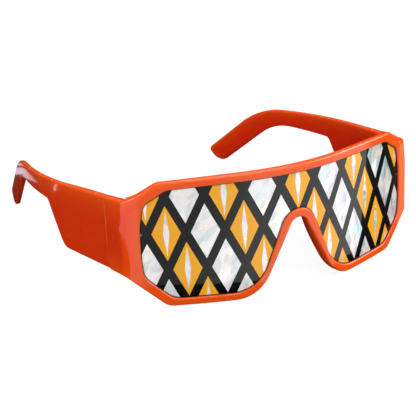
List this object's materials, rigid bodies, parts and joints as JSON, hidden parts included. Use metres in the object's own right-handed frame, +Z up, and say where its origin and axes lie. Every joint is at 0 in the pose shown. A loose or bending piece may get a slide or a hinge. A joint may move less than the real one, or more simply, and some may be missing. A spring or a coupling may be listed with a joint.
{
  "type": "sunglasses",
  "caption": "Novelty shield sunglasses: one wide printed lens in a glossy moulded wrap-round front, with stepped folding temples on pinned hinges",
  "frame": {"origin": "middle of the footprint, on the surface the glasses stand on", "axes": "X runs across the glasses, with +X the side that is on the right as one looks at their front; the front faces -Y, the temples reach back to +Y, and Z is up. The glasses stand level on the front's bottom edges and the tips of the temples"},
  "size_m": [0.1442, 0.1882, 0.0536],
  "materials": {
    "frame_plastic": "glossy injection-moulded orange plastic",
    "lens_plastic": "glossy smoked lens",
    "printed_film": "printed holographic film in amber, black and silver",
    "hinge_metal": "nickel-plated steel, slightly worn"
  },
  "bodies": {
    "front": {"front_frame": "frame_plastic", "shield_lens": "lens_plastic", "print_film": "printed_film", "hinge_front_leaf_right": "hinge_metal", "hinge_front_leaf_left": "hinge_metal", "hinge_screw_right": "hinge_metal", "hinge_screw_left": "hinge_metal", "front_leaf_screws_right": "hinge_metal", "front_leaf_screws_left": "hinge_metal"},
    "arm_right": {"temple_right": "frame_plastic", "hinge_temple_leaf_right": "hinge_metal", "temple_leaf_screws_right": "hinge_metal"},
    "arm_left": {"temple_left": "frame_plastic", "hinge_temple_leaf_left": "hinge_metal", "temple_leaf_screws_left": "hinge_metal"}
  },
  "joints": [
    {"name": "fold_right", "type": "hinge", "parent": "front", "child": "arm_right", "pos_m": [0.06319, -0.05676, 0.02945], "axis": [-0.0012, -0.0633, 0.998], "range_deg": [0, 92]},
    {"name": "fold_left", "type": "hinge", "parent": "front", "child": "arm_left", "pos_m": [-0.06319, -0.05676, 0.02945], "axis": [-0.0012, 0.0633, -0.998], "range_deg": [0, 85]}
  ]
}
